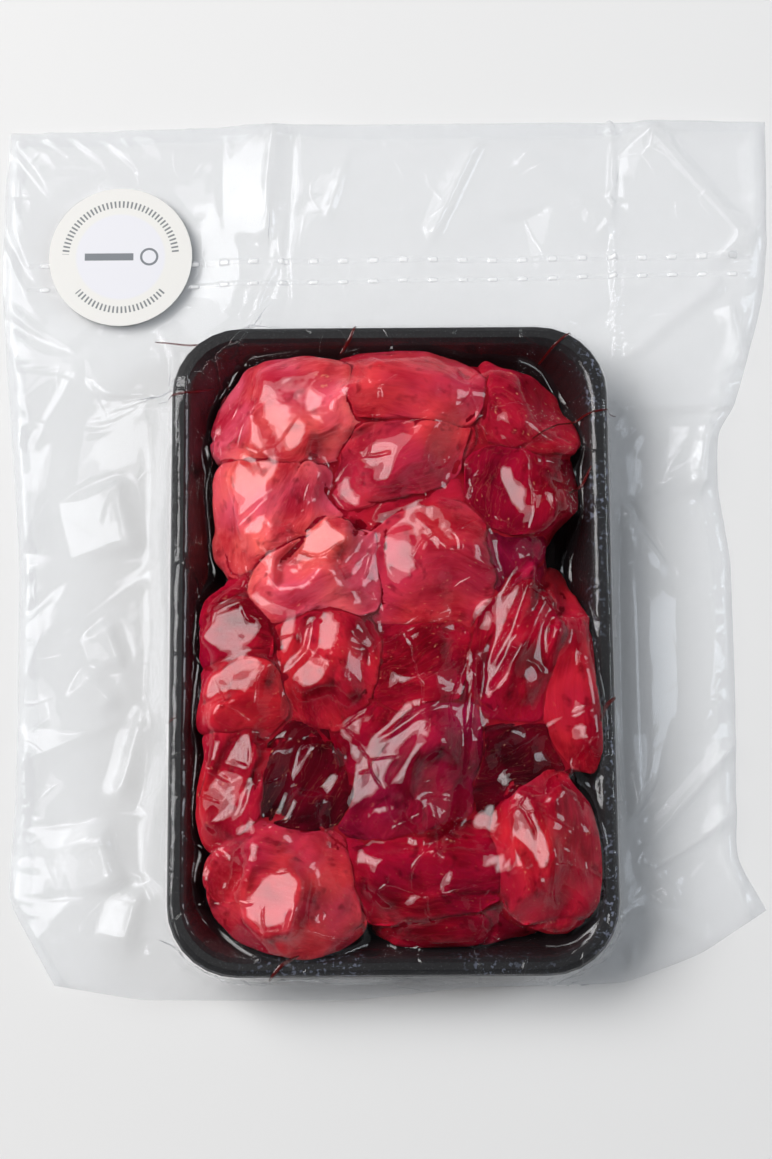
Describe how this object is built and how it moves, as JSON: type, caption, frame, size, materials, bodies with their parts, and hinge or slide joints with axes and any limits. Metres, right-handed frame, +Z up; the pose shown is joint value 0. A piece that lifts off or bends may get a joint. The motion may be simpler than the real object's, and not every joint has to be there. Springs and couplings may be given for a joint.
{
  "type": "vacuum-packed stewing meat",
  "caption": "Raw stewing beef in uneven red pieces on a black foam tray, vacuum packed in a clear film bag with wrinkled loose edges and a round sticker.",
  "frame": {"origin": "middle of the pack's footprint, on the table", "axes": "+Z up, +Y along the tray's long side towards the bag's wide end with the sticker, +X to the right seen from above"},
  "size_m": [0.2686, 0.3056, 0.0386],
  "materials": {
    "tray_foam": "black polystyrene foam with a fine grain",
    "meat_light": "wet raw beef, light red",
    "meat_red": "wet raw beef, bright red",
    "meat_dark": "wet raw beef, dark red",
    "bag_film": "clear glossy film",
    "sticker": "smooth white paper"
  },
  "bodies": {
    "root": {"tray": "tray_foam", "meat_top_left": "meat_light", "meat_top_centre": "meat_light", "meat_top_right": "meat_dark", "meat_left_slab": "meat_light", "meat_strip": "meat_red", "meat_strip_low": "meat_red", "meat_centre_left": "meat_light", "meat_centre_left_low": "meat_red", "meat_centre": "meat_red", "meat_centre_small": "meat_dark", "meat_right_top": "meat_dark", "meat_right_purple": "meat_dark", "meat_right_strip": "meat_red", "meat_right_edge": "meat_red", "meat_right_dark": "meat_dark", "meat_left_mid": "meat_dark", "meat_left_mid_low": "meat_red", "meat_left_low": "meat_red", "meat_left_low_dark": "meat_dark", "meat_mid_dark": "meat_dark", "meat_long_strip": "meat_red", "meat_bottom_centre": "meat_dark", "meat_bottom_strip": "meat_dark", "meat_bottom_left": "meat_light", "meat_bottom_right": "meat_red", "bag": "bag_film", "label": "sticker"}
  },
  "joints": []
}
